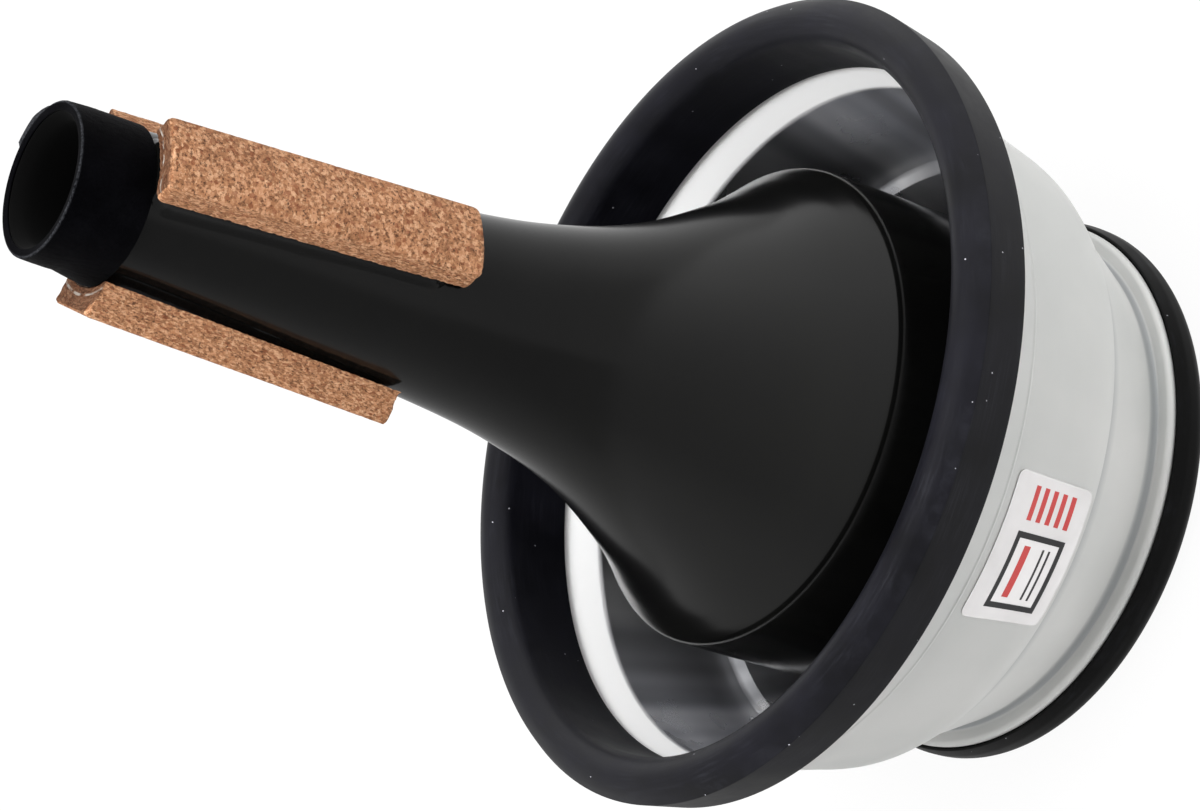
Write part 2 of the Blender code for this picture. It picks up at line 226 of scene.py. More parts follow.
def flowing(stations, count):
    """A smooth curve through (radius, depth) stations in mm, with count points on each span."""
    steps = []
    for (r_a, d_a), (r_b, d_b) in zip(stations, stations[1:]):
        steps.append((d_b - d_a, (r_b - r_a) / (d_b - d_a)))
    slopes = [steps[0][1]]
    for (span_a, slope_a), (span_b, slope_b) in zip(steps, steps[1:]):
        slopes.append((span_b * slope_a + span_a * slope_b) / (span_a + span_b))
    slopes.append(steps[-1][1])
    points = []
    for index, (run, _) in enumerate(steps):
        r_a, d_a = stations[index]
        r_b = stations[index + 1][0]
        for step in range(count):
            t = step / count
            share = t * t * (3.0 - 2.0 * t)
            bends = t * (1.0 - t) ** 2 * slopes[index] - t * t * (1.0 - t) * slopes[index + 1]
            points.append((r_a + (r_b - r_a) * share + bends * run, d_a + run * t, 0.0))
    points.append((*stations[-1], 0.0))
    return points


def inset(corners, distance):
    """Profile corners moved inwards, square to the profile's own direction."""
    moved = []
    last = len(corners) - 1
    for index, (radius, depth, rounding) in enumerate(corners):
        before = corners[max(index - 1, 0)]
        after = corners[min(index + 1, last)]
        run = Vector((after[0] - before[0], after[1] - before[1])).normalized()
        moved.append((radius - run.y * distance, depth + run.x * distance, rounding))
    return moved


def radius_on(line, depth):
    """The radius of a profile line at a depth."""
    for (r_a, d_a, _), (r_b, d_b, _) in zip(line, line[1:]):
        if d_a <= depth <= d_b:
            return r_a + (r_b - r_a) * (depth - d_a) / (d_b - d_a)
    return line[-1][0]


def dense(points, longest_mm, closed=True):
    """Split each stretch of a profile so that none is longer than the given length."""
    ends = points[1:] + points[:1] if closed else points[1:]
    split = []
    for (x_a, z_a), (x_b, z_b) in zip(points, ends):
        pieces = max(1, math.ceil(math.hypot(x_b - x_a, z_b - z_a) / (longest_mm * MM)))
        for step in range(pieces):
            share = step / pieces
            split.append((x_a + (x_b - x_a) * share, z_a + (z_b - z_a) * share))
    if not closed:
        split.append(points[-1])
    return split


def turned(points, closed=True, steps=SPIN_STEPS):
    """Spin a profile about Z into a bmesh, seam merged and faces outwards."""
    form = bmesh.new()
    verts = [form.verts.new((x, 0.0, z)) for x, z in points]
    edges = [form.edges.new(pair) for pair in zip(verts, verts[1:])]
    if closed:
        edges.append(form.edges.new((verts[-1], verts[0])))
    bmesh.ops.spin(form, geom=verts + edges, cent=(0, 0, 0), axis=(0, 0, 1), dvec=(0, 0, 0),
                   angle=math.tau, steps=steps, use_merge=True, use_duplicate=False)
    bmesh.ops.remove_doubles(form, verts=form.verts, dist=MERGE_MM * MM)
    bmesh.ops.recalc_face_normals(form, faces=form.faces)
    return form


def finished(name, form, finish, body, node, sharp_deg=40.0):
    """Make the bmesh an object that replaces a node and rides on its body."""
    mesh = bpy.data.meshes.new(name)
    form.to_mesh(mesh)
    form.free()
    mesh.shade_smooth()
    mesh.set_sharp_from_angle(angle=math.radians(sharp_deg))
    mesh.materials.append(finish)
    piece = bpy.data.objects.new(name, mesh)
    bpy.context.scene.collection.objects.link(piece)
    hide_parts(node)
    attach(piece, body)
    triangles = sum(len(face.vertices) - 2 for face in mesh.polygons)
    print("%s: %d triangles" % (name, triangles))


# %% [markdown]
# ## Strips that lie along the tube
#
# The cork strips and the seats under them are alike: a rounded rectangle in plan, wrapped over the
# tube, with a floor and a roof that follow the tube's taper. A cube is cut into cells, which are
# packed closer near its edges. `lay` then takes each cell corner to its place. Its arguments say
# how far a point is across and along the strip, how far it is inside the plan's edge, its share of
# the thickness and, on the rim, which way is out.

# %% Strip helper
SIDE_PACKING = 0.25
END_PACKING = 0.02


def strip(width, length, thick, cell, corner, lay):
    """A cube cut into cells, rounded in plan, with each point placed by the lay function."""
    form = bmesh.new()
    bmesh.ops.create_cube(form, size=2.0)
    for axis, size in ((0, thick), (1, width), (2, length)):
        along = [edge for edge in form.edges if abs(edge.verts[0].co[axis] - edge.verts[1].co[axis]) > 1.0]
        cuts = max(round(size / cell) - 1, 1)
        bmesh.ops.subdivide_edges(form, edges=along, cuts=cuts, use_grid_fill=True)
    for vert in form.verts:
        share, side, end = vert.co
        across = side * (1.0 + SIDE_PACKING - SIDE_PACKING * side * side) * width / 2.0
        along = end * (1.0 + END_PACKING - END_PACKING * end * end) * length / 2.0
        x = abs(across) - width / 2.0 + corner
        z = abs(along) - length / 2.0 + corner
        inside = corner - max(x, z)
        if x > 0.0 and z > 0.0:
            pull = max(x, z) / math.hypot(x, z)
            x *= pull
            z *= pull
            across = math.copysign(width / 2.0 - corner + x, across)
            along = math.copysign(length / 2.0 - corner + z, along)
        out = Vector((math.copysign(max(x, 0.0), across), math.copysign(max(z, 0.0), along)))
        at_rim = max(abs(side), abs(end)) > 0.9999
        vert.co = lay(across, along, inside, (share + 1.0) / 2.0, out.normalized() if at_rim else None)
    bmesh.ops.recalc_face_normals(form, faces=form.faces)
    return form


def bowed(radius, across):
    """How far a round surface stands out, across mm beside the middle of a strip."""
    return math.sqrt(radius * radius - across * across)


def round_edge(inside, radius):
    """How far a surface has dropped at a rounded edge, inside mm in from that edge."""
    near = min(max(inside, 0.0), radius)
    return radius - math.sqrt(radius ** 2 - (radius - near) ** 2)


def beside(azimuth, across, reach, depth):
    """A point that stands out by reach in the direction of the azimuth, and across mm beside it."""
    spot = Matrix.Rotation(math.radians(azimuth), 3, "Z") @ Vector((reach * MM, across * MM, 0.0))
    spot.z = height(depth)
    return spot


# %% [markdown]
# ## Finish: moulded ABS
#
# The horn is ABS from a polished mould: black and glossy, so it is seen almost only by what it
# mirrors. Face on it mirrors little and looks nearly black; along its outline it mirrors the white
# room. The skin is never quite even, so a slow wave moves the roughness and a faint orange peel of
# 2 mm bends the reflections. A few grains of dust lie on it. Inside, where the mould's core was, the
# skin is matt, and its colour is painted blacker still, as painted shade in the deep bore. One
# material can do both, because a surface that faces the axis is inside.

# %% Moulded ABS
def dust(tree, place, spacing_mm, size_mm, share):
    """A mask of small scattered specks: 1 on a speck, 0 elsewhere."""
    cells = add(tree, "TexVoronoi", Vector=place, Scale=per(spacing_mm)).outputs
    pick = add(tree, "SeparateColor", Color=cells["Color"]).outputs["Blue"]
    chosen = add(tree, "Math", operation="GREATER_THAN", in0=pick, in1=1.0 - share)
    near = add(tree, "Math", operation="LESS_THAN", in0=cells["Distance"], in1=size_mm / spacing_mm)
    return add(tree, "Math", operation="MULTIPLY", in0=chosen, in1=near)


def faces_axis(tree):
    """1 where a surface looks towards the axis of the mute, 0 where it looks away."""
    here = add(tree, "TexCoord").outputs
    flat = off_axis(tree, here["Object"])
    facing = add(tree, "VectorMath", operation="DOT_PRODUCT", in0=flat, in1=here["Normal"])
    return add(tree, "Math", operation="LESS_THAN", in0=facing, in1=0.0)


def moulded_abs():
    made, tree, shader, place = new_finish("moulded_black_abs")
    wave = add(tree, "TexNoise", Vector=place, Scale=per(26.0), Detail=3.0)
    peel = add(tree, "TexNoise", Vector=place, Scale=per(2.0), Detail=1.0)
    bump = add(tree, "Bump", Strength=0.03, Distance=0.02 * MM, Height=peel)
    black = add(tree, "ValToRGB", Fac=wave, stops=[(0.3, "#060606"), (0.7, "#090908")])
    specks = dust(tree, place, spacing_mm=9.0, size_mm=0.09, share=0.3)
    dusty = add(tree, "Mix", data_type="RGBA", in0=specks, in6=black, in7=linear("#5A5A5A"))
    core_matt_and_shade = faces_axis(tree)
    # Facing the axis the colour drops to near black: painted shade in the deep bore.
    skin = add(tree, "Mix", data_type="RGBA", in0=core_matt_and_shade, in6=dusty, in7=linear("#010101"))
    polish = add(tree, "MapRange", Value=wave, From_Min=0.3, From_Max=0.7, To_Min=0.15, To_Max=0.2)
    gloss = add(tree, "Math", operation="MULTIPLY_ADD", in0=core_matt_and_shade, in1=0.8, in2=polish)
    fill(tree, shader, Base_Color=skin, Roughness=gloss, Normal=bump, Specular_IOR_Level=0.28)
    return made


abs_black = moulded_abs()

# %% [markdown]
# ## The horn
#
# The horn is one hollow moulding: tube, flare, rounded shoulder and straight skirt. A sphere or a
# cone would need much pushing, while a curve through ten measured stations gives the flare at once.
# Its wall is 1.6 mm and thins at the mouth. Inside the skirt a small ledge stops the base plate.

# %% Horn profile
HORN_WALL = 1.6
MOUTH_DEPTH = 0.6
MOUTH_R = 11.0
MOUTH_WALL = 0.6
MOUTH_ROUND = 0.2
SKIRT_R = 39.6
SKIRT_START = 134.0
SHOULDER_DEPTH = 128.0
SHOULDER_ROUND = 2.4
LEDGE_REACH = 1.4
LEDGE_LOW = 4.3
LEDGE_HIGH = 5.9
LEDGE_END = 7.3
TUBE = [(MOUTH_R, MOUTH_DEPTH), (11.35, 12.3), (13.95, 50.0), (15.2, 68.2), (17.45, 84.0), (20.9, 97.0),
        (23.7, 104.0), (27.95, 112.0), (32.95, 119.9), (37.0, 125.0)]
horn_line = flowing(TUBE, count=7)
horn_line += [(SKIRT_R, SHOULDER_DEPTH, SHOULDER_ROUND), (SKIRT_R, SKIRT_START, 0.0)]

inner_r = SKIRT_R - HORN_WALL
ledge_r = inner_r - LEDGE_REACH
inside = inset(horn_line, HORN_WALL)
inside[0] = (MOUTH_R - MOUTH_WALL, MOUTH_DEPTH, MOUTH_ROUND)
horn_line[0] = (MOUTH_R, MOUTH_DEPTH, MOUTH_ROUND)
rear = [
    (SKIRT_R, skirt_end, 0.5),
    (inner_r, skirt_end, 0.4),
    (inner_r, skirt_end - LEDGE_LOW, 0.1),
    (ledge_r, skirt_end - LEDGE_LOW, 0.2),
    (ledge_r, skirt_end - LEDGE_HIGH, 0.2),
    (inner_r, skirt_end - LEDGE_END, 0.3),
]
horn_form = turned(dense(rounded(horn_line + rear + inside[::-1]), longest_mm=2.5))

# %% [markdown]
# ## The seats
#
# Three low seats are moulded on the tube, one under each cork. They have a straight taper, so that
# a flat strip of cork lies well on them. Each has a rounded upper edge and a hollow foot where it
# grows out of the tube. They are closed blocks that sink into the horn's wall and join its mesh,
# which spares a boolean and the ragged triangles that one leaves.

# %% Seats
CORK_AZIMUTHS = (36.0, 153.5, 272.5)
SEAT_WIDTHS = (12.2, 12.2, 9.4)
SEAT_HIGH = 12.6
SEAT_LOW = 61.5
SEAT_RISE_HIGH = 1.9
SEAT_RISE_LOW = 1.0
SEAT_CORNER = 3.0
SEAT_EDGE = 0.3
SEAT_FOOT = 1.0
SEAT_SUNK = 0.7
SEAT_BLOCK = 4.0
SEAT_CELL = 0.5


def seat_radius(depth):
    high = radius_on(horn_line, SEAT_HIGH) + SEAT_RISE_HIGH
    low = radius_on(horn_line, SEAT_LOW) + SEAT_RISE_LOW
    return high + (low - high) * (depth - SEAT_HIGH) / (SEAT_LOW - SEAT_HIGH)


def seat_form(azimuth, width):
    middle = (SEAT_HIGH + SEAT_LOW) / 2.0

    def lay(across, along, inside_mm, share, out):
        skin = radius_on(horn_line, middle + along)
        roof = seat_radius(middle + along) - round_edge(inside_mm, SEAT_EDGE)
        radius = skin - SEAT_SUNK + share * (roof - skin + SEAT_SUNK)
        if out:
            left = min(max(1.0 - (radius - skin) / SEAT_FOOT, 0.0), 1.0)
            grown = SEAT_FOOT * (1.0 - math.sqrt(1.0 - left * left))
            across += out.x * grown
            along += out.y * grown
        return beside(azimuth, across, bowed(radius, across), middle + along)

    return strip(width, SEAT_LOW - SEAT_HIGH, SEAT_BLOCK, SEAT_CELL, SEAT_CORNER, lay)


for azimuth, width in zip(CORK_AZIMUTHS, SEAT_WIDTHS):
    seat = seat_form(azimuth, width)
    seat_mesh = bpy.data.meshes.new("seat")
    seat.to_mesh(seat_mesh)
    seat.free()
    horn_form.from_mesh(seat_mesh)
    bpy.data.meshes.remove(seat_mesh)
finished("horn_shell", horn_form, abs_black, "mute", "mute_horn", sharp_deg=50.0)

# %% [markdown]
# ## The base plate
#
# A flat moulded plate closes the skirt. Its edge is broken by a small rounding, and a shallow rim
# stiffens it, as on most pressed-in plates. It is turned from the axis outwards, so its centre is a
# pole that the merge closes.

# %% Base plate
PLATE_RIM = 0.4
plate_low = skirt_end - 2.4
plate_high = skirt_end - 4.0
plate_edge = inner_r - 0.3
plate_profile = rounded([
    (0.0, plate_high, 0.0),
    (plate_edge, plate_high, 0.3),
    (plate_edge, plate_low, 0.3),
    (plate_edge - 1.6, plate_low, 0.2),
    (plate_edge - 2.2, plate_low - PLATE_RIM, 0.2),
    (0.0, plate_low - PLATE_RIM, 0.0),
], closed=False)
plate_form = turned(dense(plate_profile, longest_mm=3.0, closed=False), closed=False)
finished("rear_plate", plate_form, abs_black, "mute", "base_plate")

# %% [markdown]
# ## Finish: pressed cork
#
# Pressed cork is a mass of granules of half a millimetre to a millimetre, glued and sanded. Their
# tans differ little; what the eye sees first are short dark cracks and flecks of bark and small pale
# bits. The sheet is pressed flat, so on a cut side the granules look like streaks along the sheet.
# The strip carries its own flat measures as a point attribute, and the pattern is squeezed across
# the sheet. The cut end at the throat is greyer, and there a thin seam shows that two sheets were
# glued.

# %% Pressed cork
SHEET_SQUEEZE = 2.2
GRANULE_MM = 0.65
TORN_MM = 0.45
SEAM_RISE_MM = 1.2
SEAM_HALF_MM = 0.2


def pressed_cork():
    made, tree, shader, _ = new_finish("pressed_cork")
    sheet = add(tree, "Attribute", attribute_name="sheet").outputs["Vector"]
    throat_end = add(tree, "Attribute", attribute_name="throat_end").outputs["Fac"]
    flat = add(tree, "Mapping", Vector=sheet, Scale=(1.0, 1.0, SHEET_SQUEEZE))
    wobble = add(tree, "TexNoise", Vector=flat, Scale=per(0.4)).outputs["Color"]
    torn = add(tree, "VectorMath", operation="MULTIPLY_ADD", in0=wobble, in1=[TORN_MM * MM] * 3, in2=flat)
    grain = add(tree, "TexVoronoi", Vector=torn, Scale=per(GRANULE_MM)).outputs["Color"]
    pick = add(tree, "SeparateColor", Color=grain).outputs
    tan = add(tree, "ValToRGB", Fac=pick["Red"],
              stops=[(0.05, "#7C553A"), (0.35, "#936647"), (0.7, "#A17455"), (0.95, "#B28868")])

    crumbs = add(tree, "TexNoise", Vector=torn, Scale=per(0.55), Detail=4.0, Roughness=0.7)
    cracks = add(tree, "MapRange", Value=crumbs, From_Min=0.36, From_Max=0.49, To_Min=0.9, To_Max=0.0)
    cracked = add(tree, "Mix", data_type="RGBA", in0=cracks, in6=tan, in7=linear("#3E2416"))
    chips = add(tree, "MapRange", Value=crumbs, From_Min=0.56, From_Max=0.68, To_Min=0.0, To_Max=0.6)
    bitty = add(tree, "Mix", data_type="RGBA", in0=chips, in6=cracked, in7=linear("#C8A888"))
    bark = add(tree, "MapRange", Value=pick["Green"], From_Min=0.88, From_Max=0.92, To_Min=0.0, To_Max=0.6)
    dark = add(tree, "Mix", data_type="RGBA", in0=bark, in6=bitty, in7=linear("#6A3820"))

    cloud = add(tree, "TexNoise", Vector=flat, Scale=per(9.0))
    patches = add(tree, "ValToRGB", Fac=cloud, stops=[(0.3, "#E2E2E2"), (0.7, "#FFFFFF")])
    toned = add(tree, "Mix", data_type="RGBA", blend_type="MULTIPLY", in0=0.5, in6=dark, in7=patches)
    greyer = add(tree, "Mix", data_type="RGBA", blend_type="MULTIPLY", in0=throat_end, in6=toned,
                 in7=linear("#928E90"))

    rise = add(tree, "SeparateXYZ", Vector=sheet).outputs["Z"]
    seam = add(tree, "Math", operation="COMPARE", in0=rise, in1=SEAM_RISE_MM * MM, in2=SEAM_HALF_MM * MM)
    smear = add(tree, "TexNoise", Vector=sheet, Scale=per(1.5))
    patchy = add(tree, "MapRange", Value=smear, From_Min=0.4, From_Max=0.6, To_Min=0.0, To_Max=0.6)
    at_end = add(tree, "Math", operation="MULTIPLY", in0=patchy, in1=throat_end)
    glue = add(tree, "Math", operation="MULTIPLY", in0=seam, in1=at_end)
    glued = add(tree, "Mix", data_type="RGBA", in0=glue, in6=greyer, in7=linear("#96928C"))
    bump = add(tree, "Bump", Strength=0.7, Distance=0.1 * MM, Height=crumbs)
    fill(tree, shader, Base_Color=glued, Normal=bump, Roughness=0.85, Specular_IOR_Level=0.2)
    return made


cork_finish = pressed_cork()

# %% [markdown]
# ## The cork strips
#
# Each strip is cut by hand, so each has its own width, ends and corners. The rear ends are torn
# rather than cut, and here and there a granule has come out of an edge. All this is noise of the
# size of the granules that bites into the rim. One corner of the upper strip is broken off. The
# other two were sanded flat on their outer faces, a little askew, so each is thicker along one side.

# %% Cork strips
CORK_THICK = 3.6
CORK_CELL = 0.4
CORK_EDGE = 0.45
SEAT_GAP = 0.05
FINE_CRUMB = 0.45
FINE_SHARE = 0.8
TORN_SIDE = 0.25
TORN_REAR = 0.75
TORN_FRONT = 0.2
TORN_CORNER = 0.5
PIT_FROM = 0.3
PIT_DEEP = 0.12
GRIT = 0.02
END_SKIN = 0.3


def cork_form(azimuth, width, throat, end, corner, broken, slant, tilt):
    """A strip between two depths; with a tilt its outer face is flat, otherwise it is bowed."""
    middle = (throat + end) / 2.0
    length = end - throat

    def lay(across, along, inside_mm, share, out):
        spot = Vector((across + azimuth, along, share * CORK_THICK))
        rough = noise.noise(spot) + FINE_SHARE * noise.noise(spot / FINE_CRUMB)
        if out:
            across -= out.x * max(rough, 0.0) * TORN_SIDE
            along -= out.y * max(rough, 0.0) * (TORN_REAR if out.y > 0.7 else TORN_FRONT)
        gone = broken + TORN_CORNER * rough - (across + width / 2.0) - (length / 2.0 - along)
        if broken and gone > 0.0:
            across += gone / 2.0
            along -= gone / 2.0
        depth = middle + along
        floor_r = seat_radius(depth) + SEAT_GAP
        low = bowed(floor_r, across)
        roof = floor_r + CORK_THICK + across * tilt if tilt else bowed(floor_r + CORK_THICK, across)
        pit = PIT_DEEP * max(rough - PIT_FROM, 0.0) + GRIT * rough
        reach = low + share * (roof - low - round_edge(inside_mm, CORK_EDGE) - pit)
        return beside(azimuth, across, reach, depth - share * slant)

    form = strip(width, length, CORK_THICK, CORK_CELL, corner, lay)
    sheet = form.verts.layers.float_vector.new("sheet")
    throat_end = form.verts.layers.float.new("throat_end")
    back = Matrix.Rotation(math.radians(-azimuth), 3, "Z")
    for vert in form.verts:
        local = back @ vert.co
        depth = (TOP - vert.co.z) / MM
        rise = local.x / MM - bowed(seat_radius(depth), local.y / MM)
        vert[sheet] = Vector((local.y + azimuth * MM, local.z, rise * MM))
        vert[throat_end] = 1.0 if depth < throat - slant * rise / CORK_THICK + END_SKIN else 0.0
    return form


strips = [
    dict(width=12.4, throat=12.1, end=64.8, corner=1.3, broken=0.9, slant=0.2, tilt=0.0),
    dict(width=12.8, throat=13.0, end=64.8, corner=0.4, broken=0.0, slant=0.2, tilt=-0.085),
    dict(width=12.7, throat=11.4, end=63.6, corner=0.2, broken=0.0, slant=1.0, tilt=0.09),
]
for index, shape in enumerate(strips):
    label = index + 1
    cork = cork_form(CORK_AZIMUTHS[index], **shape)
    finished("cork_%d" % label, cork, cork_finish, "mute", "cork_strip_%d" % label, sharp_deg=60.0)

# %% [markdown]
# ## Finish: short-pile felt
#
# The band is black flocked felt. It swallows nearly all light. Its cut front edge is painted a paler,
# fuzzy grey, a painted highlight where the light catches the ends of the fibres. The height on the
# mute and the distance from its axis tell the shader where that edge is. A few specks of lint sit on the
# pile.

# %% Felt
# Where the painted highlight on the cut front edge lies.
EDGE_HIGHLIGHT_R = 11.75 * MM
EDGE_HIGHLIGHT_WIDE = 0.25 * MM


def flocked_felt():
    made, tree, shader, place = new_finish("flocked_black_felt")
    pile = add(tree, "TexNoise", Vector=place, Scale=per(0.35), Detail=4.0, Roughness=0.7)
    nap = add(tree, "TexNoise", Vector=place, Scale=per(5.0))
    uneven = add(tree, "Math", operation="MULTIPLY", in0=pile, in1=nap)
    black = add(tree, "ValToRGB", Fac=uneven, stops=[(0.15, "#010102"), (0.45, "#050507")])

    # Painted highlight: a fuzzy grey ring along the cut front edge.
    level = add(tree, "SeparateXYZ", Vector=place).outputs["Z"]
    in_front = add(tree, "MapRange", Value=level, From_Min=height(0.45), From_Max=height(0.15))
    reach = add(tree, "VectorMath", operation="LENGTH", in0=off_axis(tree, place))
    far_out = add(tree, "MapRange", Value=reach, From_Min=EDGE_HIGHLIGHT_R - EDGE_HIGHLIGHT_WIDE, From_Max=EDGE_HIGHLIGHT_R)
    at_edge = add(tree, "Math", operation="MULTIPLY", in0=in_front, in1=far_out)
    tips = add(tree, "MapRange", Value=pile, From_Min=0.4, From_Max=0.6, To_Min=0.1, To_Max=1.0)
    fibres = add(tree, "Math", operation="MULTIPLY", in0=at_edge, in1=tips)
    edge_highlighted = add(tree, "Mix", data_type="RGBA", in0=fibres, in6=black, in7=linear("#303134"))

    lint = dust(tree, place, spacing_mm=2.6, size_mm=0.08, share=0.1)
    linty = add(tree, "Mix", data_type="RGBA", in0=lint, in6=edge_highlighted, in7=linear("#77777C"))
    bump = add(tree, "Bump", Strength=0.8, Distance=0.1 * MM, Height=pile)
    fill(tree, shader, Base_Color=linty, Normal=bump, Roughness=0.95, Specular_IOR_Level=0.03,
         Sheen_Weight=0.02, Sheen_Roughness=0.4)
    return made


felt = flocked_felt()

# %% [markdown]
# ## The felt band
#
# One strip of felt is glued round the mouth and laps over its own start. A cloth simulation would
# be much work for a tight band, so it is turned and then changed by its azimuth. The lap is a second
# thickness that fades in and ends in a crisp step. The front is folded in a little over the end of
# the tube. The rear edge is cut by hand, a bit further back on one side, and it bulges where it
# rides up on the seat of the lowest strip.

# %% Felt band
LAP_START = 116.0
LAP_FADE = 25.0
LAP_END = 161.0
LAP_THICK = 1.8
BAND_INNER = 11.5
BAND_THICK = 0.6
BAND_REAR = 12.3
BAND_WAVE = 0.3
BAND_STILL = 6.0
BULGE = 1.1
BULGE_AZIMUTH = -87.5
BULGE_SPREAD = 24.0
BULGE_RUN = 5.0
PILE_MM = 0.6
PILE_ROUGH = 0.05

band_profile = rounded([
    (10.5, 0.3, 0.1),
    (11.95, 0.0, 0.45),
    (12.1, 4.0, 6.0),
    (12.05, 9.0, 6.0),
    (12.0, BAND_REAR, 0.3),
    (BAND_INNER, BAND_REAR, 0.2),
    (11.15, 0.5, 0.0),
    (10.5, 0.5, 0.15),
])
band_form = turned(dense(band_profile, longest_mm=0.4), steps=360)
for vert in band_form.verts:
    azimuth = math.degrees(math.atan2(vert.co.y, vert.co.x))
    radius = math.hypot(vert.co.x, vert.co.y) / MM
    depth = (TOP - vert.co.z) / MM
    outer_share = min(max((radius - BAND_INNER) / BAND_THICK, 0.0), 1.0)
    lap = min(max((azimuth - LAP_START) / LAP_FADE, 0.0), 1.0) if azimuth < LAP_END else 0.0
    off_seat = (azimuth - BULGE_AZIMUTH) / BULGE_SPREAD
    near_rear = min(max((depth - BAND_STILL) / BULGE_RUN, 0.0), 1.0)
    bulge = BULGE * math.exp(-off_seat * off_seat) * near_rear
    fuzz = PILE_ROUGH * noise.noise(Vector(vert.co) / (PILE_MM * MM))
    grown = radius + outer_share * (LAP_THICK * lap + bulge + fuzz)
    vert.co.x *= grown / radius
    vert.co.y *= grown / radius
    wave = BAND_WAVE * MM * math.cos(math.radians(azimuth))
    vert.co.z -= wave * max(depth - BAND_STILL, 0.0) / BAND_REAR
finished("felt_band", band_form, felt, "mute", "throat_band", sharp_deg=60.0)

# %% [markdown]
# ## Finish: moulded rubber
#
# Both rings are black rubber straight from the mould. Rubber is duller than ABS. The front ring is
# greyed by a bloom of wax with faint rub marks and grains of dust; the rear ring, which is handled
# more, is nearly clean, blacker and duller. So the colours and the gloss are arguments. The rub
# marks run round the ring: `along_ring` gives them a place that changes slowly with the bearing and
# fast across the profile.

# %% Rubber
MARK_SPREAD_MM = 4.0
PROFILE_SLOPE = 1.7


def along_ring(tree, place):
    """A place that hardly changes round the ring, for marks that run with it."""
    flat = off_axis(tree, place)
    bearing = add(tree, "VectorMath", operation="NORMALIZE", in0=flat)
    reach = add(tree, "VectorMath", operation="LENGTH", in0=flat)
    level = add(tree, "SeparateXYZ", Vector=place).outputs["Z"]
    across = add(tree, "Math", operation="MULTIPLY_ADD", in0=reach, in1=PROFILE_SLOPE, in2=level)
    spread = (MARK_SPREAD_MM * MM, MARK_SPREAD_MM * MM, 0.0)
    return add(tree, "VectorMath", operation="MULTIPLY_ADD", in0=bearing, in1=spread,
               in2=add(tree, "CombineXYZ", Z=across))


def moulded_rubber(name, dark, bloomed, mirror_level):
    made, tree, shader, place = new_finish(name)
    bloom = add(tree, "TexNoise", Vector=place, Scale=per(14.0), Detail=5.0, Roughness=0.65)
    black = add(tree, "ValToRGB", Fac=bloom, stops=[(0.32, dark), (0.68, bloomed)])

    marks = add(tree, "TexNoise", Vector=along_ring(tree, place), Scale=per(0.5), Detail=5.0, Roughness=0.75)
    faint = add(tree, "MapRange", Value=marks, From_Min=0.48, From_Max=0.7, To_Min=0.0, To_Max=0.5)
    handled = add(tree, "TexNoise", Vector=place, Scale=per(9.0), Detail=3.0)
    patchy = add(tree, "MapRange", Value=handled, From_Min=0.38, From_Max=0.68)
    rubs = add(tree, "Math", operation="MULTIPLY", in0=faint, in1=patchy)
    rubbed = add(tree, "Mix", data_type="RGBA", in0=rubs, in6=black, in7=linear("#25262C"))
    specks = dust(tree, place, spacing_mm=2.4, size_mm=0.14, share=0.35)
    dusty = add(tree, "Mix", data_type="RGBA", in0=specks, in6=rubbed, in7=linear("#8E8E94"))

    grain = add(tree, "TexNoise", Vector=place, Scale=per(0.5), Detail=3.0)
    bump = add(tree, "Bump", Strength=0.12, Distance=0.05 * MM, Height=grain)
    gloss = add(tree, "MapRange", Value=bloom, From_Min=0.3, From_Max=0.7, To_Min=0.36, To_Max=0.5)
    fill(tree, shader, Base_Color=dusty, Roughness=gloss, Normal=bump, Specular_IOR_Level=mirror_level)
    return made


bloomed_rubber = moulded_rubber("bloomed_black_rubber", "#060609", "#0F0F15", mirror_level=0.19)
clean_rubber = moulded_rubber("clean_black_rubber", "#040404", "#060606", mirror_level=0.1)

# %% [markdown]
# ## Finish: spun aluminium
#
# The cup is spun over a former on a lathe, so all its tool marks run round the axis. Such a surface
# smears a reflection across the marks and keeps it sharp along them, which is anisotropy with the
# tangent round Z, turned by a quarter. That is what draws the bright and dark wedges inside the
# cup. Rings of noise, read almost from the height alone, vary the roughness as the marks do. The inner side
# of the lip, above the bead, was rubbed down with emery, so it is a pale satin and mirrors little.
# Noise read from the bearing alone also paints about twenty soft light and dark rays over the
# inside of the bowl, a painted reflection that strengthens those wedges.
# Outside, a thin film of oxide makes the metal duller. The crease and the groove before the rear
# edge are painted a darker blue-grey, as painted shade.

# %% Spun aluminium
BEAD_DEPTH = 139.9
PAINTED_RAY_SCALE = 3.5
# Depths over which the crease and the groove get painted shade.
CREASE_SHADE_DEPTHS = (161.0, 161.5, 161.9, 164.5)
GROOVE_SHADE_DEPTHS = (176.2, 177.6, 178.3, 178.5)


def shade_band_at(tree, level, depths):
    """1 between the middle two of four depths, fading to 0 at the outer two."""
    start, full, still, end = depths
    fading_in = add(tree, "MapRange", Value=level, From_Min=height(start), From_Max=height(full))
    fading_out = add(tree, "MapRange", Value=level, From_Min=height(end), From_Max=height(still))
    return add(tree, "Math", operation="MULTIPLY", in0=fading_in, in1=fading_out)


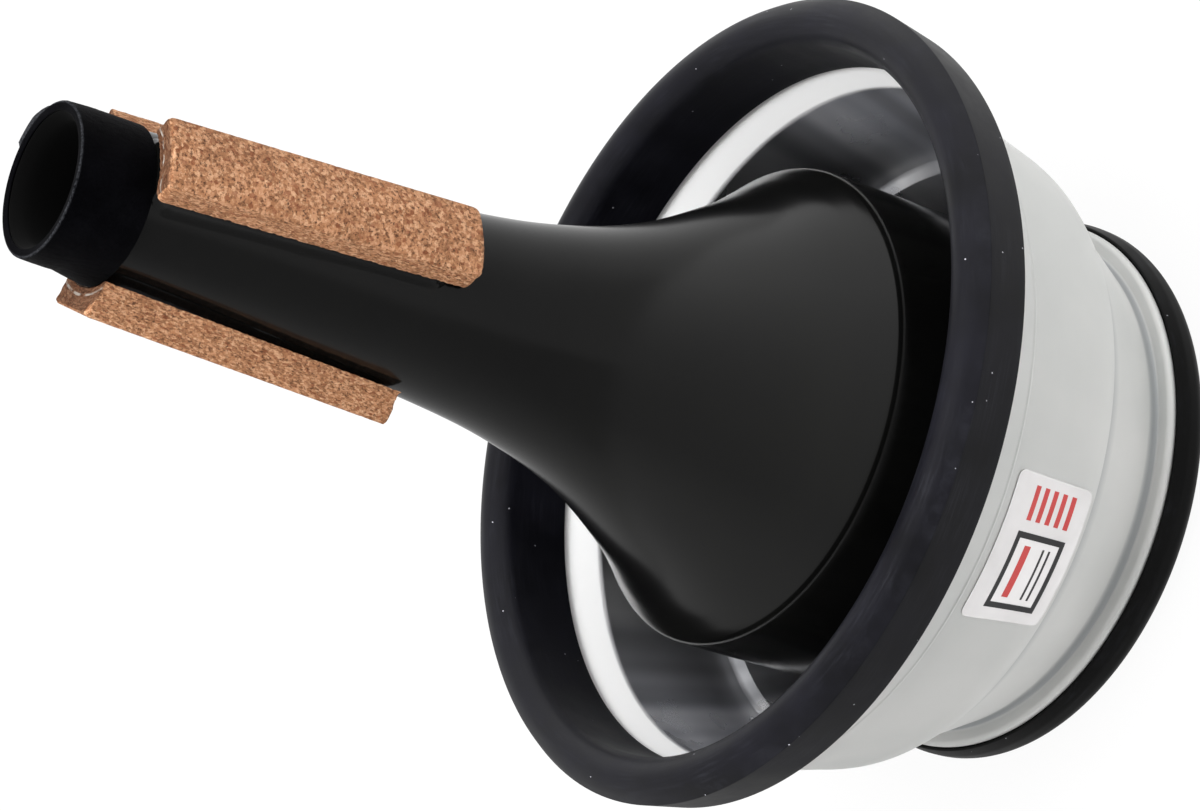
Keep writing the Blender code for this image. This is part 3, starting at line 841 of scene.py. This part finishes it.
def spun_aluminium():
    made, tree, shader, place = new_finish("spun_aluminium")
    level = add(tree, "SeparateXYZ", Vector=place).outputs["Z"]
    inner = faces_axis(tree)
    outer = add(tree, "Math", operation="SUBTRACT", in0=1.0, in1=inner)
    above_bead = add(tree, "MapRange", Value=level, From_Min=height(BEAD_DEPTH + 0.7),
                     From_Max=height(BEAD_DEPTH - 0.3))
    lip = add(tree, "Math", operation="MULTIPLY", in0=above_bead, in1=inner)

    rings = add(tree, "Mapping", Vector=place, Scale=(0.01, 0.01, 1.0))
    marks = add(tree, "TexNoise", Vector=rings, Scale=per(2.5), Roughness=0.6)
    haze = add(tree, "TexNoise", Vector=place, Scale=per(24.0), Detail=3.0)
    uneven = add(tree, "Math", operation="MULTIPLY_ADD", in0=marks, in1=0.15, in2=haze)
    spun = add(tree, "MapRange", Value=uneven, From_Min=0.38, From_Max=0.78, To_Min=0.25, To_Max=0.33)
    dulled = add(tree, "Math", operation="MAXIMUM", in0=lip, in1=outer)
    gloss = add(tree, "Math", operation="MULTIPLY_ADD", in0=dulled, in1=0.2, in2=spun)

    tint = add(tree, "ValToRGB", Fac=haze, stops=[(0.35, "#D3D4D2"), (0.65, "#DCDCDA")])
    # Painted shade: the groove and the crease are darkened towards blue-grey.
    groove_shade = add(tree, "Math", operation="MULTIPLY", in0=shade_band_at(tree, level, GROOVE_SHADE_DEPTHS), in1=0.6)
    crease_shade = add(tree, "Math", operation="MULTIPLY", in0=shade_band_at(tree, level, CREASE_SHADE_DEPTHS), in1=0.4)
    painted_shade = add(tree, "Math", operation="ADD", in0=groove_shade, in1=crease_shade)
    shade_painted_tint = add(tree, "Mix", data_type="RGBA", in0=painted_shade, in6=tint, in7=linear("#7B8187"))
    # Painted reflection: soft light and dark rays, read from the bearing, inside the bowl.
    bearing = add(tree, "VectorMath", operation="NORMALIZE", in0=off_axis(tree, place))
    rays = add(tree, "TexNoise", Vector=bearing, Scale=PAINTED_RAY_SCALE)
    painted_reflection_streaks = add(tree, "ValToRGB", Fac=rays, stops=[(0.36, "#8F9095"), (0.5, "#CDCED2"), (0.62, "#F6F6F8")])
    with_painted_rays = add(tree, "Mix", data_type="RGBA", in0=inner, in6=shade_painted_tint, in7=painted_reflection_streaks)
    bright = add(tree, "Mix", data_type="RGBA", in0=lip, in6=with_painted_rays, in7=linear("#FAFAFA"))

    filmed = add(tree, "Math", operation="MULTIPLY_ADD", in0=outer, in1=-0.2, in2=1.0)
    metal = add(tree, "Math", operation="MULTIPLY_ADD", in0=lip, in1=-0.9, in2=filmed)
    round_axis = add(tree, "Tangent", direction_type="RADIAL", axis="Z")
    fill(tree, shader, Base_Color=bright, Roughness=gloss, Metallic=metal, Tangent=round_axis,
         Anisotropic=0.8, Anisotropic_Rotation=0.25)
    return made


aluminium = spun_aluminium()

# %% [markdown]
# ## The cup
#
# The cup's sheet is 0.8 mm thick. From the rim it runs in a flared lip to a fine raised bead, then
# down the bowl to a crease, steps in to the neck, and turns out again into a rolled rear edge.
# Only the outer side is drawn; the inner side is the same line, moved in by the sheet's thickness.

# %% Cup
CUP_WALL = 0.8
ROLL_R = 0.95
ROLL_MIDDLE = 44.0
ROLL_TOP = 178.55
RING_STEPS = 240
lip_line = [
    (61.2, 124.9, 0.3),
    (59.7, 133.6, 0.0),
    (57.95, 138.9, 0.6),
    (58.05, 139.25, 0.15),
    (57.5, 139.8, 0.3),
]
bowl_line = flowing([
    (57.45, 140.2),
    (57.0, 142.5),
    (55.5, 148.4),
    (54.1, 154.3),
    (53.55, 156.8),
    (52.7, 159.2),
    (51.7, 160.8),
], count=4)
neck_line = [
    (50.9, 161.4, 0.4),
    (50.0, 162.0, 0.5),
    (46.2, 169.4, 0.0),
    (42.15, 177.2, 1.2),
    (42.15, 178.5, 0.7),
]
roll_line = [
    (ROLL_MIDDLE + ROLL_R, ROLL_TOP, ROLL_R),
    (ROLL_MIDDLE + ROLL_R, ROLL_TOP + 2.0 * ROLL_R, ROLL_R),
]
cup_line = lip_line + bowl_line + neck_line + roll_line
under_bead = [(57.5, BEAD_DEPTH, 0.6)]
cup_inside = inset(lip_line[:2] + under_bead + bowl_line[1:] + neck_line[:4], CUP_WALL)
cup_inside += [(41.4, 179.9, 0.5), (42.6, 180.45, 0.3)]
cup_form = turned(dense(rounded(cup_line + cup_inside[::-1]), longest_mm=2.0), steps=RING_STEPS)
finished("spun_cup", cup_form, aluminium, "cup", "cup_shell")

# %% [markdown]
# ## The front ring
#
# The front ring is a thick moulding with a groove for the cup's rim. Its crest is a soft curve, the
# outer front corner is crisp, and its outer side tapers towards the rear.

# %% Front ring
front_profile = rounded([
    (58.8, 122.4, 5.0),
    (60.2, 120.5, 5.0),
    (62.5, 119.75, 5.0),
    (65.0, 120.8, 5.0),
    (66.5, 123.2, 0.4),
    (65.25, 131.0, 0.4),
    (60.6, 131.0, 0.3),
    (61.5, 124.6, 0.2),
    (60.1, 124.6, 0.2),
    (58.6, 133.8, 0.2),
    (58.1, 133.8, 0.2),
])
front_form = turned(dense(front_profile, longest_mm=1.2), steps=RING_STEPS)
finished("front_ring", front_form, bloomed_rubber, "cup", "bell_ring", sharp_deg=50.0)

# %% [markdown]
# ## The rear ring
#
# The rear ring closes round the cup's rolled edge, grips the skirt with its bore, and has a round
# back.

# %% Rear ring
rear_profile = rounded([
    (39.75, 177.0, 0.3),
    (40.8, 177.0, 0.3),
    (40.8, 181.2, 0.2),
    (45.2, 181.2, 0.2),
    (45.05, 179.9, 0.15),
    (45.5, 179.8, 0.2),
    (46.0, 182.0, 3.0),
    (45.95, 184.6, 3.0),
    (43.9, 186.4, 3.0),
    (40.6, 186.4, 0.4),
    (39.75, 185.7, 0.4),
])
rear_form = turned(dense(rear_profile, longest_mm=1.2), steps=RING_STEPS)
finished("rear_ring", rear_form, clean_rubber, "grip", "grip_ring", sharp_deg=50.0)

# %% [markdown]
# ## Finish: printed vinyl
#
# The sticker is white vinyl, printed in black and red and a little greyed with age. A picture file
# would do, but plain boxes can be drawn by the shader itself and stay sharp at any distance. They
# are given in millimetres from the sticker's corner: a black frame round a blank name plate, lines
# on the plate, and red bars beside it. Later boxes cover earlier ones.

# %% Sticker print
STICKER_WIDTH = 23.6
STICKER_HEIGHT = 18.2
BAR_STEP = 2.2
PRINTED_BOXES = [
    ("#141416", (8.4, 9.6), (12.6, 11.4)),
    ("#BEBCBC", (8.4, 9.6), (10.6, 9.4)),
    ("#A62826", (8.4, 7.4), (8.6, 1.5)),
    ("#141416", (8.4, 11.2), (8.6, 0.5)),
    ("#141416", (8.4, 12.6), (8.6, 0.5)),
]
PRINTED_BOXES += [("#A62826", (19.2, 5.2 + BAR_STEP * row), (5.4, 1.1)) for row in range(5)]


def box_mask(tree, across, down, centre, size):
    """1 inside a rectangle of the print, 0 outside, from flat measures in mm."""
    beside_it = add(tree, "Math", operation="COMPARE", in0=across, in1=centre[0], in2=size[0] / 2.0)
    level_with = add(tree, "Math", operation="COMPARE", in0=down, in1=centre[1], in2=size[1] / 2.0)
    return add(tree, "Math", operation="MULTIPLY", in0=beside_it, in1=level_with)


def printed_vinyl():
    made, tree, shader, place = new_finish("printed_vinyl")
    parts = add(tree, "SeparateXYZ", Vector=add(tree, "UVMap", uv_map="flat")).outputs
    across = add(tree, "Math", operation="MULTIPLY", in0=parts["X"], in1=STICKER_WIDTH)
    down = add(tree, "Math", operation="MULTIPLY", in0=parts["Y"], in1=STICKER_HEIGHT)
    cloud = add(tree, "TexNoise", Vector=place, Scale=per(6.0))
    colour = add(tree, "ValToRGB", Fac=cloud, stops=[(0.3, "#B2B0B0"), (0.7, "#BAB8B8")])
    for hex_colour, centre, size in PRINTED_BOXES:
        mask = box_mask(tree, across, down, centre, size)
        colour = add(tree, "Mix", data_type="RGBA", in0=mask, in6=colour, in7=linear(hex_colour))
    fill(tree, shader, Base_Color=colour, Roughness=0.38)
    return made


vinyl = printed_vinyl()

# %% [markdown]
# ## The sticker
#
# The sticker follows the bowl. It is drawn flat, as a grid whose corners are rounded, then wrapped
# onto the bowl and given a thickness. The flat measures are kept as its UV map, which is what the
# print is laid out on.

# %% Sticker
STICKER_TOP = 141.2
STICKER_MIDDLE = STICKER_TOP + STICKER_HEIGHT / 2.0
STICKER_AZIMUTH = -9.3
STICKER_CORNER = 1.4
STICKER_THICK = 0.12
STICKER_GAP = 0.05

sticker_form = bmesh.new()
bmesh.ops.create_grid(sticker_form, x_segments=60, y_segments=48, size=0.5)
flat_layer = sticker_form.loops.layers.uv.new("flat")
for face in sticker_form.faces:
    for loop in face.loops:
        loop[flat_layer].uv = (loop.vert.co.x + 0.5, loop.vert.co.y + 0.5)
for vert in sticker_form.verts:
    across = vert.co.x * STICKER_WIDTH
    down = vert.co.y * STICKER_HEIGHT
    x = abs(across) - STICKER_WIDTH / 2.0 + STICKER_CORNER
    y = abs(down) - STICKER_HEIGHT / 2.0 + STICKER_CORNER
    if x > 0.0 and y > 0.0:
        pull = max(x, y) / math.hypot(x, y)
        across = math.copysign(STICKER_WIDTH / 2.0 - STICKER_CORNER + x * pull, across)
        down = math.copysign(STICKER_HEIGHT / 2.0 - STICKER_CORNER + y * pull, down)
    depth = STICKER_MIDDLE + down
    radius = radius_on(cup_line, depth) + STICKER_GAP
    angle = math.radians(STICKER_AZIMUTH) + across / radius_on(cup_line, STICKER_MIDDLE)
    vert.co = Vector((radius * math.cos(angle) * MM, radius * math.sin(angle) * MM, height(depth)))
bmesh.ops.recalc_face_normals(sticker_form, faces=sticker_form.faces)
outermost = max(sticker_form.faces, key=lambda face: face.calc_center_median().x)
if outermost.normal.x < 0.0:
    bmesh.ops.reverse_faces(sticker_form, faces=sticker_form.faces)
bmesh.ops.solidify(sticker_form, geom=sticker_form.faces, thickness=-STICKER_THICK * MM)
finished("bowl_sticker", sticker_form, vinyl, "cup", "cup_label")

# %% [markdown]
# ## The floor
#
# The mute is shown on a plain white ground. The floor is white card. For the camera most of its
# white is its own, so that it stays white, and the rest is lit, so that the mute still has a soft
# shadow. In reflections the card falls off to grey in front of the mute and on its low side.

# %% Floor
FLOOR_GLOW = 0.95
FLOOR_HALF = 3.0


def white_card():
    made = bpy.data.materials.new("white_card")
    made.use_nodes = True
    tree = made.node_tree
    tree.nodes.clear()
    rays = add(tree, "LightPath").outputs
    place = add(tree, "TexCoord").outputs["Object"]
    fibres = add(tree, "TexNoise", Vector=place, Scale=per(0.8))
    card = add(tree, "ValToRGB", Fac=fibres, stops=[(0.3, "#F3F3F3"), (0.7, "#F6F6F6")])
    parts = add(tree, "SeparateXYZ", Vector=place).outputs
    low_side = add(tree, "MapRange", Value=parts["Y"], From_Min=-0.1, From_Max=-0.02, To_Min=0.48, To_Max=0.8)
    in_front = add(tree, "MapRange", Value=parts["X"], From_Min=0.02, From_Max=0.3, To_Min=1.0, To_Max=0.72)
    shade = add(tree, "Math", operation="MULTIPLY", in0=low_side, in1=in_front)
    lit = add(tree, "BsdfDiffuse", Color=card)
    white = add(tree, "Emission", Color=WHITE, Strength=1.0)
    grey = add(tree, "Emission", Color=WHITE, Strength=shade)
    glow = add(tree, "Math", operation="MULTIPLY", in0=rays["Is Camera Ray"], in1=FLOOR_GLOW)
    seen = add(tree, "MixShader", in0=glow, in1=lit, in2=white)
    mirrored = add(tree, "MixShader", in0=rays["Is Glossy Ray"], in1=seen, in2=grey)
    add(tree, "OutputMaterial", Surface=mirrored)
    return made


floor_form = bmesh.new()
bmesh.ops.create_grid(floor_form, x_segments=1, y_segments=1, size=FLOOR_HALF)
floor_mesh = bpy.data.meshes.new("floor")
floor_form.to_mesh(floor_mesh)
floor_form.free()
floor_mesh.materials.append(white_card())
floor = bpy.data.objects.new("floor", floor_mesh)
bpy.context.scene.collection.objects.link(floor)
floor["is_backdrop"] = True

# %% [markdown]
# ## The room
#
# The room is white too. A mirror-like surface sees it brighter towards the upper right of the
# picture and dimmer behind the camera, which gives the horn its slow gradient from tube to flare.
# All other surfaces get an even light from it.

# %% World
ROOM_LIGHT = 0.58
ROOM_SHEEN_LOW = 0.7
ROOM_SHEEN_HIGH = 1.5
CAMERA_SIDE_DIM = 0.6

world = bpy.data.worlds.new("studio")
bpy.context.scene.world = world
world.use_nodes = True
sky = world.node_tree
sky.nodes.clear()
sky_rays = add(sky, "LightPath").outputs
sky_place = add(sky, "TexCoord").outputs["Generated"]
bright_side = (right * 0.6 + up * 0.8).normalized()
toward = add(sky, "VectorMath", operation="DOT_PRODUCT", in0=sky_place, in1=bright_side)
side = add(sky, "MapRange", Value=toward, From_Min=-0.6, From_Max=1.0, To_Min=ROOM_SHEEN_LOW,
           To_Max=ROOM_SHEEN_HIGH)
facing = add(sky, "SeparateXYZ", Vector=sky_place).outputs["X"]
dimmed = add(sky, "MapRange", Value=facing, From_Min=0.2, From_Max=0.95, To_Min=1.0, To_Max=CAMERA_SIDE_DIM)
sheen = add(sky, "Math", operation="MULTIPLY", in0=side, in1=dimmed)
soft = add(sky, "Mix", data_type="FLOAT", in0=sky_rays["Is Glossy Ray"], in2=ROOM_LIGHT, in3=sheen)
seen = add(sky, "Mix", data_type="FLOAT", in0=sky_rays["Is Camera Ray"], in2=soft, in3=1.0)
add(sky, "OutputWorld", Surface=add(sky, "Background", Color=WHITE, Strength=seen))

# %% [markdown]
# ## The lamps
#
# Lamps are placed as a photographer speaks of them: so far to the right of the picture, so far up,
# and so far towards the camera. Two big soft ones light the mute from above and from below, and
# one stands over the throat, nearly on the axis, to light the lip of the cup all round. None of
# them is mirrored, so they light the cork without showing up as spots on the plastic.

# %% Lamps
centre = Vector((0.0, 0.0, TOP / 2.0))


def lamp(name, to_right, to_up, to_eye, size, power):
    data = bpy.data.lights.new(name, "AREA")
    data.shape = "RECTANGLE"
    data.size = size[0]
    data.size_y = size[1]
    data.energy = power
    item = bpy.data.objects.new(name, data)
    spot = centre + right * to_right + up * to_up - forward * to_eye
    item.location = spot
    item.rotation_euler = (centre - spot).to_track_quat("-Z", "Y").to_euler()
    item.visible_glossy = False
    bpy.context.scene.collection.objects.link(item)
    print("lamp %s: %.1f W" % (name, power))


lamp("key_softbox", to_right=-0.25, to_up=0.8, to_eye=0.6, size=(0.9, 0.6), power=4.4)
lamp("fill_softbox", to_right=-0.35, to_up=-0.7, to_eye=0.6, size=(0.9, 0.6), power=2.6)
lamp("mouth_softbox", to_right=-0.7, to_up=0.22, to_eye=0.62, size=(0.6, 0.6), power=20.0)
bpy.context.scene.view_settings.view_transform = "Standard"

# %% [markdown]
# ## Measure
#
# Both boxes, of the imported model and of the dressed mute, are printed. The dressed mute has to
# stay inside the box of the imported model.

# %% Boxes
full_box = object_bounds()
for label, (low, high) in (("cad", cad_box), ("visual", full_box)):
    print(label, ["%.1f" % ((b - a) / MM) for a, b in zip(low, high)])
